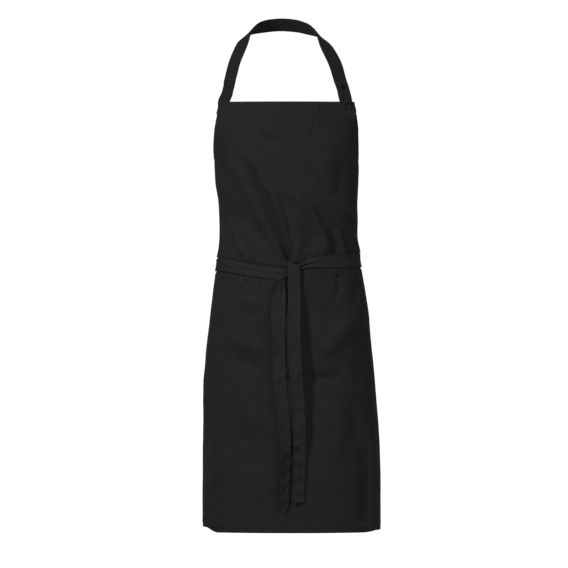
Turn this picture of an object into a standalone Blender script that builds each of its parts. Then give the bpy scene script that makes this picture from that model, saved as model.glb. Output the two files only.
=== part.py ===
"""A plain bib apron of black woven cotton, hanging as it does when it is worn.

The panel follows the front and the sides of a standing body. A strap runs from the top of the bib
round the neck. Two ties run from the panel's back edges round the waist to a half knot in front.
The origin is the middle of the strap's inner face at the nape, +Z is up and the front faces -Y.
"""

import math

import bmesh
import bpy
from mathutils import Vector

# The panel. Each row is a level of the worn apron: the height, how far the cloth reaches to the
# left and to the right, how far forward it stands, and the half depth of the body inside it.
LEVELS = (
    (-0.170, -0.1670, 0.1640, -0.1680, 0.098),
    (-0.262, -0.1639, 0.1571, -0.1720, 0.106),
    (-0.342, -0.1562, 0.1560, -0.1700, 0.107),
    (-0.474, -0.1507, 0.1527, -0.1660, 0.105),
    (-0.535, -0.1584, 0.1606, -0.1660, 0.107),
    (-0.620, -0.1694, 0.1735, -0.1690, 0.113),
    (-0.732, -0.1822, 0.1857, -0.1740, 0.120),
    (-0.892, -0.1861, 0.1980, -0.1800, 0.126),
    (-1.117, -0.1870, 0.2020, -0.1860, 0.130),
)
BIB_TOP_Z = -0.170
WAIST_Z = -0.530
HEM_Z = -1.117
BIB_TOP_HALF = 0.1475
PANEL_HALF = 0.350
SECTION_POWER = 2.2
CLOTH = 0.0010
TURNING = 0.0008
TOP_HEM = 0.027
SIDE_HEM = 0.015
BOTTOM_HEM = 0.011
PANEL_ROWS = 24
PANEL_COLUMNS = 38
GAP = 0.0003

# The neck strap and its press studs.
STRAP_WIDTH = 0.030
STRAP_THICK = 0.0016
STRAP_REST = CLOTH + TURNING + 2 * GAP
STRAP_SEWN_X = -0.137
STRAP_SNAP_X = 0.1335
SNAP_BACK = 0.0065
SNAP_PITCH = 0.047
SNAP_Z = BIB_TOP_Z - 0.012
STRAP_TAIL = 0.036
FOLD_GAP = 0.0015
FOLD_CLEAR = 0.0032
NAPE_HALF = 0.022
# The strap's middle line and the way across it towards the neck, from the bib up to the nape.
LEFT_LEG = (
    ((-0.1274, -0.1150, -0.1224), (0.79, -0.60, -0.11)),
    ((-0.1167, -0.1080, -0.0806), (0.79, -0.59, -0.18)),
    ((-0.1030, -0.0980, -0.0470), (0.80, -0.58, -0.12)),
    ((-0.0939, -0.0830, -0.0277), (0.77, -0.50, 0.40)),
    ((-0.0858, -0.0660, -0.0196), (0.60, -0.55, 0.58)),
    ((-0.0748, -0.0450, -0.0130), (0.42, -0.52, 0.74)),
    ((-0.0583, -0.0220, -0.0057), (0.20, -0.42, 0.88)),
)
RIGHT_LEG = (
    ((0.1175, -0.1150, -0.1269), (-0.80, -0.58, -0.18)),
    ((0.1025, -0.1080, -0.0840), (-0.82, -0.54, -0.20)),
    ((0.0868, -0.0980, -0.0497), (-0.80, -0.58, -0.13)),
    ((0.0750, -0.0830, -0.0320), (-0.68, -0.66, 0.30)),
    ((0.0662, -0.0660, -0.0235), (-0.50, -0.66, 0.55)),
    ((0.0545, -0.0450, -0.0158), (-0.32, -0.58, 0.74)),
    ((0.0415, -0.0190, -0.0070), (-0.14, -0.36, 0.92)),
)

# The waist ties and the half knot in front.
TIE_WIDTH = 0.030
TIE_THICK = 0.0010
TIE_CLEAR = 0.0013
TIE_OVER = 0.0030
TIE_PART = 0.020
TIE_SEWN = 0.022
KNOT_X = 0.010
KNOT_Z = -0.546
KNOT_SIZE = (0.036, 0.013, 0.026)
KNOT_CLEAR = 0.0012
TIE_DROP = 0.018
TAIL_WIDTH = 0.028
TAIL_THICK = 0.0012
TAIL_TOP_Z = -0.5605
LEFT_TAIL = (-0.0165, -0.0080, -1.066)
RIGHT_TAIL = (0.0138, 0.0250, -1.051)

CLOTH_BLACK = (0.019, 0.019, 0.020, 1.0)
THREAD_BLACK = (0.012, 0.012, 0.013, 1.0)
METAL_BLACK = (0.030, 0.030, 0.032, 1.0)


def material(name, colour, roughness, metallic):
    made = bpy.data.materials.new(name)
    made.use_nodes = True
    shader = made.node_tree.nodes["Principled BSDF"]
    shader.inputs["Base Color"].default_value = colour
    shader.inputs["Roughness"].default_value = roughness
    shader.inputs["Metallic"].default_value = metallic
    return made


def eased(t):
    t = min(1.0, max(0.0, t))
    return t * t * (3.0 - 2.0 * t)


def through(rows, at):
    """The row at a place along a list of rows, on a smooth curve through all of them."""
    i = min(len(rows) - 2, max(0, int(at)))
    t = at - i
    before = rows[max(0, i - 1)]
    after = rows[min(len(rows) - 1, i + 2)]
    out = []
    for p, a, b, n in zip(before, rows[i], rows[i + 1], after):
        into = (b - p) / 2.0
        away = (n - a) / 2.0
        square = t * t
        cube = square * t
        out.append(
            a * (2 * cube - 3 * square + 1)
            + into * (cube - 2 * square + t)
            + b * (3 * square - 2 * cube)
            + away * (cube - square)
        )
    return out


def level(z):
    """Left reach, right reach, front and half depth of the body at one height."""
    for i in range(len(LEVELS) - 1):
        if z >= LEVELS[i + 1][0] or i == len(LEVELS) - 2:
            top, low = LEVELS[i][0], LEVELS[i + 1][0]
            return through([row[1:] for row in LEVELS], i + (top - z) / (top - low))
    return LEVELS[-1][1:]


class Section:
    """The closed curve round the body at one height, measured from the middle of the front."""

    STEPS = 240

    def __init__(self, z):
        self.z = z
        left, right, front, deep = level(z)
        self.half = (right - left) / 2.0
        self.middle = (right + left) / 2.0
        self.deep = deep
        self.back = front + deep
        self.marks = [self.at_angle(math.pi * k / self.STEPS) for k in range(self.STEPS + 1)]
        self.along = [0.0]
        for a, b in zip(self.marks, self.marks[1:]):
            self.along.append(self.along[-1] + math.dist(a, b))
        self.round = 2.0 * self.along[-1]

    def at_angle(self, angle):
        s, c = math.sin(angle), math.cos(angle)
        power = 2.0 / SECTION_POWER
        return self.half * s**power, math.copysign(abs(c) ** power, -c) * self.deep

    def point(self, arc, out=0.0):
        """A point at a signed distance along the curve, moved outwards by some depth."""
        arc = (arc + self.round / 2.0) % self.round - self.round / 2.0
        far = abs(arc)
        k = min(self.STEPS - 1, int(far / self.along[-1] * self.STEPS))
        while k > 0 and self.along[k] > far:
            k -= 1
        while k < self.STEPS - 1 and self.along[k + 1] < far:
            k += 1
        t = (far - self.along[k]) / (self.along[k + 1] - self.along[k])
        x = self.marks[k][0] + (self.marks[k + 1][0] - self.marks[k][0]) * t
        y = self.marks[k][1] + (self.marks[k + 1][1] - self.marks[k][1]) * t
        side = -1.0 if arc < 0 else 1.0
        near = SECTION_POWER - 1.0
        nx = (abs(x) / self.half) ** near / self.half
        ny = math.copysign((abs(y) / self.deep) ** near / self.deep, y)
        size = math.hypot(nx, ny)
        return Vector(
            (
                self.middle + side * (x + nx / size * out),
                self.back + y + ny / size * out,
                self.z,
            )
        )

    def arc_at_x(self, x):
        """The distance along the front at which the curve has some x."""
        low, high = 0.0, self.round / 4.0
        for _ in range(40):
            mid = (low + high) / 2.0
            if abs(self.point(math.copysign(mid, x)).x - self.middle) < abs(x - self.middle):
                low = mid
            else:
                high = mid
        return math.copysign(low, x)


def half_width(z):
    """Half of the panel's cut width: the slanting armhole, then the full width."""
    t = min(1.0, max(0.0, (BIB_TOP_Z - z) / (BIB_TOP_Z - WAIST_Z)))
    return BIB_TOP_HALF + (PANEL_HALF - BIB_TOP_HALF) * (0.55 * t + 0.45 * t * t)


def solid(name, grid, paint, origin=(0, 0, 0), closed=False):
    """A closed solid from rows of (outer, inner) points."""
    mesh = bpy.data.meshes.new(name)
    bm = bmesh.new()
    base = Vector(origin)
    outer = [[bm.verts.new(pair[0] - base) for pair in row] for row in grid]
    inner = [[bm.verts.new(pair[1] - base) for pair in row] for row in grid]
    rows, columns = len(grid), len(grid[0])
    for i in range(rows - 1):
        for j in range(columns - 1):
            bm.faces.new((outer[i][j], outer[i][j + 1], outer[i + 1][j + 1], outer[i + 1][j]))
            bm.faces.new((inner[i][j], inner[i + 1][j], inner[i + 1][j + 1], inner[i][j + 1]))
        for j in (0, columns - 1):
            bm.faces.new((outer[i][j], outer[i + 1][j], inner[i + 1][j], inner[i][j]))
    for i in (0, rows - 1):
        for j in range(columns - 1):
            bm.faces.new((outer[i][j], outer[i][j + 1], inner[i][j + 1], inner[i][j]))
    bmesh.ops.recalc_face_normals(bm, faces=bm.faces)
    bm.to_mesh(mesh)
    bm.free()
    return put(name, mesh, paint, base)


def put(name, mesh, paint, base):
    made = bpy.data.objects.new(name, mesh)
    bpy.context.scene.collection.objects.link(made)
    made.location = base
    mesh.materials.append(paint)
    mesh.shade_smooth()
    mesh.set_sharp_from_angle(angle=math.radians(42))
    return made


def panel_grid():
    """Rows and columns of the panel as (section, arc); the hems are its outermost bands."""
    first, last = BIB_TOP_Z - TOP_HEM, HEM_Z + BOTTOM_HEM
    heights = [BIB_TOP_Z]
    heights += [first + (last - first) * i / PANEL_ROWS for i in range(PANEL_ROWS + 1)]
    heights.append(HEM_Z)
    grid = []
    for z in heights:
        section = Section(z)
        half = half_width(z)
        edge = half - SIDE_HEM
        arcs = [-half]
        arcs += [-edge + 2 * edge * j / PANEL_COLUMNS for j in range(PANEL_COLUMNS + 1)]
        arcs.append(half)
        grid.append([(section, arc) for arc in arcs])
    return grid


def layer(grid, near, far):
    """The same grid as pairs of points at two depths outside the body's curve."""
    return [[(s.point(arc, near), s.point(arc, far)) for s, arc in row] for row in grid]


def trimmed(rows, start, end):
    """Rows of pairs, with the first and the last moved in by a share of the way to the next."""
    out = [list(row) for row in rows]
    for i, j, share in ((0, 1, start), (-1, -2, end)):
        out[i] = [
            (a[0].lerp(b[0], share), a[1].lerp(b[1], share)) for a, b in zip(rows[i], rows[j])
        ]
    return out


def ribbon(stations, wide, thick, across=2):
    """Rows of pairs along a strip, from (middle, way across, outward) stations."""
    rows = []
    for middle, way, out in stations:
        row = []
        for k in range(across + 1):
            side = middle + way * (wide * (k / across - 0.5))
            row.append((side + out * (thick / 2.0), side - out * (thick / 2.0)))
        rows.append(row)
    return rows


def on_skin(x_top, x_low, z_top, z_low, depth, wide, thick, steps):
    """A strip that lies along the inside or the outside of the panel."""
    rows = []
    for i in range(steps + 1):
        t = i / steps
        section = Section(z_top + (z_low - z_top) * t)
        middle = section.arc_at_x(x_top + (x_low - x_top) * t)
        row = []
        for k in range(-2, 3):
            arc = middle + wide * k / 4.0
            row.append((section.point(arc, depth), section.point(arc, depth - thick)))
        rows.append(row)
    return rows


def turned(name, profile, paint, base, axis, steps=28):
    """A round part from (radius, height) points turned about an axis through base."""
    up = Vector(axis).normalized()
    side = up.cross(Vector((0, 0, 1))).normalized()
    third = up.cross(side)
    mesh = bpy.data.meshes.new(name)
    bm = bmesh.new()
    rings = []
    for radius, height in profile:
        if radius == 0:
            rings.append([bm.verts.new(up * height)])
            continue
        ring = []
        for k in range(steps):
            turn = 2 * math.pi * k / steps
            ring.append(
                bm.verts.new(
                    up * height + side * (radius * math.cos(turn)) + third * (radius * math.sin(turn))
                )
            )
        rings.append(ring)
    for a, b in zip(rings, rings[1:]):
        for k in range(steps):
            n = (k + 1) % steps
            corners = [a[k % len(a)], a[n % len(a)], b[n % len(b)], b[k % len(b)]]
            bm.faces.new([v for i, v in enumerate(corners) if v not in corners[:i]])
    bmesh.ops.recalc_face_normals(bm, faces=bm.faces)
    bm.to_mesh(mesh)
    bm.free()
    return put(name, mesh, paint, Vector(base))


def make_panel(cotton):
    grid = panel_grid()
    sheet = layer(grid, 0.0, -CLOTH)
    solid("apron_panel", sheet, cotton, origin=HINGE)
    turning = layer(grid, -CLOTH - GAP, -CLOTH - GAP - TURNING)
    solid("top_hem", turning[:2], cotton, origin=HINGE)
    solid("bottom_hem", turning[-2:], cotton, origin=HINGE)
    for name, part in (("left_side_hem", slice(0, 2)), ("right_side_hem", slice(-2, None))):
        rows = trimmed([row[part] for row in turning[1:-1]], 0.02, 0.02)
        solid(name, rows, cotton, origin=HINGE)


def leg_stations(start, legs, side):
    """Stations of one leg of the neck strap, from the bib to the nape."""
    rows = [start] + [c + w for c, w in legs] + [(side * NAPE_HALF, STRAP_THICK / 2, 0, 0, 0, 1)]
    fine = [through(rows, k / 3.0) for k in range(3 * (len(rows) - 1) + 1)]
    stations = []
    for k, row in enumerate(fine):
        ahead = fine[min(k + 1, len(fine) - 1)]
        behind = fine[max(k - 1, 0)]
        along = Vector(ahead[:3]) - Vector(behind[:3])
        way = Vector(row[3:]).normalized()
        out = way.cross(along).normalized() * side
        stations.append((Vector(row[:3]), way, out))
    stations[-1] = (stations[-1][0], Vector((0, 0, 1)), Vector((0, -1, 0)))
    return stations


def strap_start(x, depth):
    """Where a leg of the strap meets the back of the bib, and the way across it there."""
    section = Section(BIB_TOP_Z)
    arc = section.arc_at_x(x)
    middle = section.point(arc, depth)
    across = section.point(arc - math.copysign(0.005, x), depth) - middle
    return tuple(middle + Vector((0, 0, FOLD_CLEAR))) + tuple(across.normalized())


def skin_face(x, z):
    """A point on the panel's face, and the way straight out of the cloth there."""
    section = Section(z)
    arc = section.arc_at_x(x)
    face = section.point(arc)
    below, above = Section(z - 0.006), Section(z + 0.006)
    down = below.point(below.arc_at_x(x)) - above.point(above.arc_at_x(x))
    across = section.point(arc + 0.005) - section.point(arc - 0.005)
    out = down.cross(across).normalized()
    return face, out if out.y < 0 else -out


def make_strap(webbing, metal, thread):
    sewn = -STRAP_REST - STRAP_THICK / 2
    snapped = -SNAP_BACK - STRAP_THICK / 2
    left = leg_stations(strap_start(STRAP_SEWN_X, sewn), LEFT_LEG, -1.0)
    right = leg_stations(strap_start(STRAP_SNAP_X, snapped), RIGHT_LEG, 1.0)
    stations = left + [(c, w, n) for c, w, n in reversed(right)]
    solid("neck_strap", ribbon(stations, STRAP_WIDTH, STRAP_THICK, 1), webbing)

    rows = on_skin(
        STRAP_SEWN_X,
        STRAP_SEWN_X - 0.004,
        BIB_TOP_Z - FOLD_GAP,
        BIB_TOP_Z - TOP_HEM,
        -STRAP_REST,
        STRAP_WIDTH - 0.001,
        STRAP_THICK,
        3,
    )
    solid("strap_sewn_end", rows, webbing, origin=HINGE)
    rows = on_skin(
        STRAP_SNAP_X,
        STRAP_SNAP_X + 0.004,
        BIB_TOP_Z - FOLD_GAP,
        BIB_TOP_Z - STRAP_TAIL,
        -SNAP_BACK,
        STRAP_WIDTH,
        STRAP_THICK,
        4,
    )
    solid("strap_snap_end", rows, webbing, origin=HINGE)
    rows = on_skin(
        STRAP_SEWN_X, STRAP_SEWN_X, BIB_TOP_Z - 0.004, BIB_TOP_Z - 0.0062, 0.0009, 0.016, 0.0006, 1
    )
    solid("strap_bar_tack", rows, thread, origin=HINGE)

    face, out = skin_face(STRAP_SNAP_X + 0.001, SNAP_Z)
    cap = ((0, 0.0016), (0.0030, 0.0015), (0.0050, 0.0011), (0.0060, 0.0004), (0.0060, 0), (0, 0))
    turned("snap_cap", cap, metal, face + out * 0.0005, out)
    back = face - out * (CLOTH + TURNING + 3 * GAP)
    socket = (
        (0, -0.0003),
        (0.0056, -0.0003),
        (0.0058, -0.0008),
        (0.0046, -0.0021),
        (0.0028, -0.0021),
        (0.0025, -0.0018),
        (0.0025, -0.0009),
        (0, -0.0009),
    )
    turned("snap_socket", socket, metal, back - out * 0.0002, out)
    rest = face - out * (SNAP_BACK - 0.0006)
    stud = ((0, 0.0018), (0.0018, 0.0018), (0.0021, 0.0014), (0.0018, 0.0006), (0.0054, 0.0005))
    stud += ((0.0055, 0.0001), (0, 0.0001))
    turned("snap_stud_engaged", stud, metal, rest, out)
    under = ((0, 0), (0.0056, 0), (0.0052, -0.0008), (0.0030, -0.0011), (0, -0.0012))
    turned("snap_stud_engaged_back", under, metal, face - out * (SNAP_BACK + STRAP_THICK + 0.0006), out)

    place, way, facing = spare_station(right)
    turned("snap_stud_spare", stud, metal, place + facing * (STRAP_THICK / 2 + GAP), facing)
    turned("snap_stud_spare_back", under, metal, place - facing * (STRAP_THICK / 2 + GAP), facing)
    return out


def spare_station(stations):
    """The place on the strap one stud pitch above the engaged stud."""
    left = SNAP_PITCH - (BIB_TOP_Z - SNAP_Z) - FOLD_CLEAR
    for a, b in zip(stations, stations[1:]):
        step = (b[0] - a[0]).length
        if left <= step:
            t = left / step
            way = a[1].lerp(b[1], t).normalized()
            out = (b[0] - a[0]).cross(way).normalized()
            if out.y > 0:
                out = -out
            return a[0].lerp(b[0], t), way, out
        left -= step
    return stations[-1]


def tie_height(x):
    """The tie's middle dips from the sides to the knot."""
    side = -0.529 if x < 0 else -0.521
    return side - TIE_DROP * eased(1.0 - abs(x - KNOT_X) / 0.150)


def make_tie(name, side, end_x, cotton):
    """One tie, from its sewn end at one back edge across the back to the knot."""
    waist = Section(WAIST_Z)
    total = waist.round
    start = PANEL_HALF - TIE_SEWN
    back = total - start - PANEL_HALF + 0.020
    finish = abs(Section(KNOT_Z).arc_at_x(end_x))
    long = total - start - finish
    steps = round(long / 0.013)
    rows = []
    for i in range(steps + 1):
        far = long * i / steps
        over = min(1.0, far / back)
        arc = side * (start + far)
        middle = waist.point(arc)
        lift = side * TIE_PART * math.sin(math.pi * over)
        depth = TIE_CLEAR + TIE_OVER * eased(over)
        if far > back:
            depth -= TIE_OVER * 0.6 * eased((far - back) / 0.12)
        z = tie_height(middle.x) if middle.y < waist.back else None
        if z is None:
            blend = eased(over) if side < 0 else 1.0 - eased(over)
            z = -0.529 + 0.008 * blend
        row = []
        for k in (-1, 0, 1):
            section = Section(z + lift + TIE_WIDTH / 2 * k)
            place = arc * section.round / total
            row.append((section.point(place, depth + TIE_THICK), section.point(place, depth)))
        rows.append(row)
    solid(name, rows, cotton, origin=HINGE)


def make_knot(cotton):
    """The half knot: a bunch of both ties, fuller at the top where the band folds over."""
    section = Section(KNOT_Z)
    front = section.point(section.arc_at_x(KNOT_X), 0.0).y
    wide, deep, tall = KNOT_SIZE
    middle = Vector((KNOT_X, front - KNOT_CLEAR - deep / 2, KNOT_Z))
    mesh = bpy.data.meshes.new("tie_knot")
    bm = bmesh.new()
    bmesh.ops.create_icosphere(bm, subdivisions=3, radius=1.0)
    for v in bm.verts:
        x, y, z = (math.copysign(abs(c) ** 0.62, c) for c in v.co)
        swell = 1.0 + 0.10 * z
        v.co = Vector((x * wide / 2, y * deep / 2 * swell * 0.9, z * tall / 2))
    bm.to_mesh(mesh)
    bm.free()
    put("tie_knot", mesh, cotton, middle)
    return middle


def make_tail(name, top_x, low_x, low_z, hinge, cotton):
    """A hanging end of a tie, cut at a slant."""
    steps = 20
    stations = []
    for i in range(steps + 1):
        t = i / steps
        z = TAIL_TOP_Z + (low_z - TAIL_TOP_Z) * t
        section = Section(z)
        x = top_x + (low_x - top_x) * eased(t)
        skin = section.point(section.arc_at_x(x), 0.0).y
        y = skin - 0.0045 - 0.0035 * (1.0 - eased(t / 0.10))
        stations.append((Vector((x, y, z)), Vector((1, 0, 0)), Vector((0, -1, 0))))
    rows = ribbon(stations, TAIL_WIDTH, TAIL_THICK, 2)
    slant = Vector((0, 0, 0.007))
    rows[-1] = [
        (pair[0] + slant * (k / 2), pair[1] + slant * (k / 2)) for k, pair in enumerate(rows[-1])
    ]
    solid(name, rows, cotton, origin=hinge)


def make_tie_tacks(thread):
    """Bar tacks that hold the sewn ends of the ties to the panel."""
    for name, side in (("left_tie_bar_tack", -1.0), ("right_tie_bar_tack", 1.0)):
        section = Section(WAIST_Z)
        rows = []
        for k in (-1, 0, 1):
            level_here = Section(WAIST_Z + 0.011 * k)
            row = []
            for share in (0.0, 1.0):
                arc = side * (PANEL_HALF - 0.006 - 0.0022 * share)
                arc *= level_here.round / section.round
                depth = -CLOTH - TURNING - 0.0008
                row.append((level_here.point(arc, depth), level_here.point(arc, depth - 0.0006)))
            rows.append(row)
        solid(name, rows, thread, origin=HINGE)


for old in list(bpy.data.objects):
    bpy.data.objects.remove(old, do_unlink=True)

# The bib folds about a line through the strap's inner edges, its foremost ones.
start = strap_start(STRAP_SEWN_X, -STRAP_REST - STRAP_THICK / 2)
HINGE = (0.0, round(start[1] + start[4] * STRAP_WIDTH / 2 - STRAP_THICK, 4), BIB_TOP_Z)
cotton = material("black_cotton_twill", CLOTH_BLACK, 0.9, 0.0)
webbing = material("black_cotton_strap", CLOTH_BLACK, 0.88, 0.0)
thread = material("black_thread", THREAD_BLACK, 0.7, 0.0)
metal = material("black_lacquered_brass", METAL_BLACK, 0.35, 1.0)

make_panel(cotton)
snap_axis = make_strap(webbing, metal, thread)
make_tie("left_waist_tie", -1.0, KNOT_X + KNOT_SIZE[0] / 2 + 0.001, cotton)
make_tie("right_waist_tie", 1.0, KNOT_X - KNOT_SIZE[0] / 2 - 0.001, cotton)
knot = make_knot(cotton)
tail_hinge = (KNOT_X, knot.y, TAIL_TOP_Z)
make_tail("left_tie_tail", *LEFT_TAIL, tail_hinge, cotton)
make_tail("right_tie_tail", *RIGHT_TAIL, tail_hinge, cotton)
make_tie_tacks(thread)
print("hinge", HINGE, "snap axis", tuple(snap_axis), "tail hinge", tail_hinge)
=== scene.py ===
import math

import bpy
import numpy as np
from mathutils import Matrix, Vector


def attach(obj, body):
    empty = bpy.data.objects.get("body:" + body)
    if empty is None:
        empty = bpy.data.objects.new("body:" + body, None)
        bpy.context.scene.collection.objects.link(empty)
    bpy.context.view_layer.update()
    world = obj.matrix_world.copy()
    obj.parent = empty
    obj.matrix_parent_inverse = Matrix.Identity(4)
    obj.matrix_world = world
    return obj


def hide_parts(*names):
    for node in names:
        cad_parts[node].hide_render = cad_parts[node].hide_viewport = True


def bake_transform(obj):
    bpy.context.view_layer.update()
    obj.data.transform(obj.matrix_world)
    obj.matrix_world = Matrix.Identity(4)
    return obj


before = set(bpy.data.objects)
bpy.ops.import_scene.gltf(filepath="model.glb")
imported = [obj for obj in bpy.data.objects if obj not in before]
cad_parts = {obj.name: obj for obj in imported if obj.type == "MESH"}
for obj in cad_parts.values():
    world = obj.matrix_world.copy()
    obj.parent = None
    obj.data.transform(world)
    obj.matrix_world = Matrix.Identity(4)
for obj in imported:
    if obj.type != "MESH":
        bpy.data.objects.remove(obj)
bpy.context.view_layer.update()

# ---------------------------------------------------------------- the worn body
# Height, reach to the left and to the right, front and half depth of the body in the apron.
LEVELS = np.array([
    (-0.120, -0.1560, 0.1520, -0.1640, 0.092),
    (-0.170, -0.1640, 0.1610, -0.1680, 0.098),
    (-0.229, -0.1635, 0.1580, -0.1715, 0.104),
    (-0.262, -0.1642, 0.1578, -0.1722, 0.106),
    (-0.312, -0.1612, 0.1568, -0.1715, 0.107),
    (-0.342, -0.1572, 0.1555, -0.1700, 0.107),
    (-0.410, -0.1530, 0.1535, -0.1678, 0.106),
    (-0.474, -0.1512, 0.1528, -0.1662, 0.105),
    (-0.530, -0.1558, 0.1580, -0.1655, 0.106),
    (-0.586, -0.1655, 0.1695, -0.1675, 0.110),
    (-0.662, -0.1750, 0.1775, -0.1710, 0.115),
    (-0.732, -0.1822, 0.1860, -0.1740, 0.120),
    (-0.814, -0.1855, 0.1930, -0.1775, 0.123),
    (-0.892, -0.1862, 0.1982, -0.1800, 0.126),
    (-0.980, -0.1868, 0.2015, -0.1830, 0.128),
    (-1.117, -0.1870, 0.2022, -0.1860, 0.130),
    (-1.160, -0.1870, 0.2022, -0.1866, 0.130),
])
SECTION_POWER = 2.2
BIB_TOP_Z, WAIST_Z, HEM_Z = -0.170, -0.530, -1.117
BIB_TOP_HALF, PANEL_HALF = 0.1475, 0.350
TOP_HEM, SIDE_HEM, BOTTOM_HEM = 0.0275, 0.0150, 0.0110
CLOTH = 0.0007


def smooth(t):
    t = np.clip(t, 0.0, 1.0)
    return t * t * (3.0 - 2.0 * t)


def band(x, low, high, soft):
    """1 between low and high, easing to 0 over some distance outside."""
    return smooth((x - low + soft) / soft) * smooth((high + soft - x) / soft)


def bump(x, wide):
    """1 at 0, falling off smoothly over a width on both sides."""
    return np.exp(-((x / wide) ** 2))


def lengths(points):
    """How far along a line each of its points is."""
    steps = np.linalg.norm(np.diff(points, axis=0), axis=1)
    return np.concatenate([[0], np.cumsum(steps)])


def curve_through(keys, values, at):
    """A smooth curve through values at rising keys, for an array of places."""
    keys, values, at = np.asarray(keys, float), np.asarray(values, float), np.asarray(at, float)
    flat = values.ndim == 1
    values = values[:, None] if flat else values
    slope = np.gradient(values, keys, axis=0)
    i = np.clip(np.searchsorted(keys, at) - 1, 0, len(keys) - 2)
    wide = (keys[i + 1] - keys[i])[..., None]
    t = np.clip((at - keys[i])[..., None] / wide, 0.0, 1.0)
    out = (
        values[i] * (2 * t**3 - 3 * t**2 + 1)
        + slope[i] * wide * (t**3 - 2 * t**2 + t)
        + values[i + 1] * (3 * t**2 - 2 * t**3)
        + slope[i + 1] * wide * (t**3 - t**2)
    )
    return out[..., 0] if flat else out


class Body:
    """The closed curves round the body at all heights, as a table to read points from."""

    ROWS, TURN = 521, 900

    def __init__(self):
        self.z = np.linspace(-1.155, -0.125, self.ROWS)
        found = curve_through(LEVELS[::-1, 0], LEVELS[::-1, 1:], self.z)
        left, right, front, deep = found.T
        half, middle, back = (right - left) / 2, (right + left) / 2, front + deep
        angle = np.linspace(0, math.pi, 1201)
        power = 2.0 / SECTION_POWER
        s = np.sin(angle) ** power
        c = -np.sign(np.cos(angle)) * np.abs(np.cos(angle)) ** power
        share = np.linspace(0, 1, self.TURN)
        place = np.zeros((self.ROWS, self.TURN, 3))
        facing = np.zeros((self.ROWS, self.TURN, 3))
        self.round = np.zeros(self.ROWS)
        for r in range(self.ROWS):
            x, y = s * half[r], c * deep[r]
            along = np.concatenate([[0], np.cumsum(np.hypot(np.diff(x), np.diff(y)))])
            self.round[r] = 2 * along[-1]
            px = np.interp(share * along[-1], along, x)
            py = np.interp(share * along[-1], along, y)
            nx = (np.abs(px) / half[r]) ** (SECTION_POWER - 1) / half[r]
            ny = np.sign(py) * (np.abs(py) / deep[r]) ** (SECTION_POWER - 1) / deep[r]
            size = np.hypot(nx, ny)
            place[r] = np.stack([px, py, np.full_like(px, self.z[r])], 1)
            facing[r] = np.stack([nx / size, ny / size, np.zeros_like(px)], 1)
        self.place, self.facing = place, facing
        self.middle, self.back = middle, back

    def read(self, z, arc):
        """Points and outward directions at heights z and signed distances from the front."""
        z, arc = np.broadcast_arrays(np.asarray(z, float), np.asarray(arc, float))
        row = np.clip((z - self.z[0]) / (self.z[1] - self.z[0]), 0, self.ROWS - 1.0001)
        r = row.astype(int)
        f = row - r
        whole = self.round[r] * (1 - f) + self.round[r + 1] * f
        turn = arc / whole
        turn = turn - np.round(turn)
        side = np.where(turn < 0, -1.0, 1.0)
        col = np.abs(turn) * 2 * (self.TURN - 1)
        c = np.clip(col.astype(int), 0, self.TURN - 2)
        g = col - c
        out = []
        for table in (self.place, self.facing):
            near = table[r, c] * (1 - g)[..., None] + table[r, c + 1] * g[..., None]
            far = table[r + 1, c] * (1 - g)[..., None] + table[r + 1, c + 1] * g[..., None]
            out.append(near * (1 - f)[..., None] + far * f[..., None])
        p, n = out
        p[..., 0] = p[..., 0] * side + self.middle[r] * (1 - f) + self.middle[r + 1] * f
        p[..., 1] += self.back[r] * (1 - f) + self.back[r + 1] * f
        p[..., 2] = z
        n[..., 0] *= side
        return p, n / np.linalg.norm(n, axis=-1, keepdims=True)

    def arc_at(self, x, z):
        """The signed distance along the front at which the body has some x."""
        x, z = np.broadcast_arrays(np.asarray(x, float), np.asarray(z, float))
        low = np.full(x.shape, -0.21)
        high = np.full(x.shape, 0.21)
        for _ in range(34):
            mid = (low + high) / 2
            less = self.read(z, mid)[0][..., 0] < x
            low, high = np.where(less, mid, low), np.where(less, high, mid)
        return (low + high) / 2


BODY = Body()


# ---------------------------------------------------------------- folds of the cloth
def noise(x, y, seed):
    """Smooth noise from -1 to 1 with a grain of one unit."""
    rng = np.random.default_rng(seed)
    table = rng.uniform(-1, 1, (64, 64))
    xi, yi = np.floor(x).astype(int), np.floor(y).astype(int)
    fx, fy = smooth(x - xi), smooth(y - yi)
    a = table[xi % 64, yi % 64] * (1 - fx) + table[(xi + 1) % 64, yi % 64] * fx
    b = table[xi % 64, (yi + 1) % 64] * (1 - fx) + table[(xi + 1) % 64, (yi + 1) % 64] * fx
    return a * (1 - fy) + b * fy


def along_line(x, z, line):
    """Distance from a polyline, the side of it, and how far along it, for arrays."""
    line = np.asarray(line, float)
    best = np.full(x.shape, 9.0)
    side = np.zeros(x.shape)
    share = np.zeros(x.shape)
    step = np.linalg.norm(np.diff(line, axis=0), axis=1)
    total = step.sum()
    done = 0.0
    for a, b, long in zip(line, line[1:], step):
        d = (b - a) / long
        t = np.clip((x - a[0]) * d[0] + (z - a[1]) * d[1], 0, long)
        away = np.hypot(x - a[0] - t * d[0], z - a[1] - t * d[1])
        turn = (x - a[0]) * d[1] - (z - a[1]) * d[0]
        nearer = away < best
        best = np.where(nearer, away, best)
        side = np.where(nearer, np.sign(turn), side)
        share = np.where(nearer, (done + t) / total, share)
        done += long
    return best, side, share


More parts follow.
